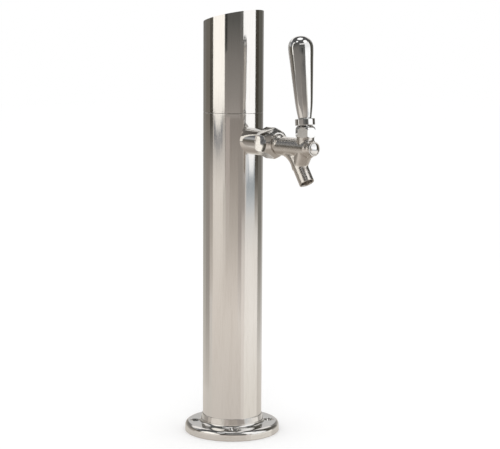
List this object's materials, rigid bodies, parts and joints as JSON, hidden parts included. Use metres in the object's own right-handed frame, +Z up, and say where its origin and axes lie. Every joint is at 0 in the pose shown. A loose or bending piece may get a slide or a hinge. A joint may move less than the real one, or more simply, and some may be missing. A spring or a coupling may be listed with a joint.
{
  "type": "draft beer tower",
  "caption": "Polished column tower with a slanted cap, a round bolt-down flange and a lever faucet on a threaded shank, for dispensing draft drinks on a bar top.",
  "frame": {"origin": "centre of the base flange's underside, on the column's axis", "axes": "+Z up the column, -Y towards the faucet"},
  "size_m": [0.122, 0.2186, 0.5413],
  "materials": {
    "polished_steel": "polished",
    "faucet_chrome": "polished",
    "handle_chrome": "polished",
    "plain_steel": "satin",
    "brass": "satin",
    "black_rubber": "matte",
    "clear_line": "satin",
    "foam": "matte",
    "white_plastic": "satin"
  },
  "bodies": {
    "tower": {"base_flange": "polished_steel", "base_gasket": "black_rubber", "column_tube": "polished_steel", "saddle_collar": "faucet_chrome", "backing_saddle": "plain_steel", "shank": "faucet_chrome", "lock_nut": "brass", "elbow_washer": "black_rubber", "elbow": "plain_steel", "elbow_nut": "brass", "beer_line": "clear_line", "hose_clamps": "plain_steel", "line_joiner": "brass", "foam_sleeve": "foam", "coupling_washer": "black_rubber", "coupling_nut": "faucet_chrome", "snap_ring": "plain_steel", "faucet_body": "faucet_chrome", "front_plug": "faucet_chrome", "ball_cup": "white_plastic", "ball_washer": "white_plastic", "bonnet": "faucet_chrome"},
    "cap": {"cap_shell": "polished_steel", "cap_sleeve": "plain_steel", "cap_rings": "black_rubber"},
    "lever_handle": {"lever": "plain_steel", "ferrule": "faucet_chrome", "handle": "handle_chrome", "handle_insert": "brass"},
    "valve": {"shaft": "plain_steel", "seat_washer": "black_rubber", "shaft_nut": "brass"}
  },
  "joints": [
    {"name": "lever_tilt", "type": "hinge", "parent": "tower", "child": "lever_handle", "pos_m": [0, -0.1396, 0.3976], "axis": [1, 0, 0], "range_deg": [0, 28]},
    {"name": "shaft_slide", "type": "slide", "parent": "tower", "child": "valve", "axis": [0, 1, 0], "range_m": [0, 0.0106]},
    {"name": "cap_lift", "type": "slide", "parent": "tower", "child": "cap", "axis": [0, 0, 1], "range_m": [0, 0.025]}
  ],
  "couplings": [
    {"joint": "shaft_slide", "follows": "lever_tilt", "m_per_rad": 0.021195}
  ]
}
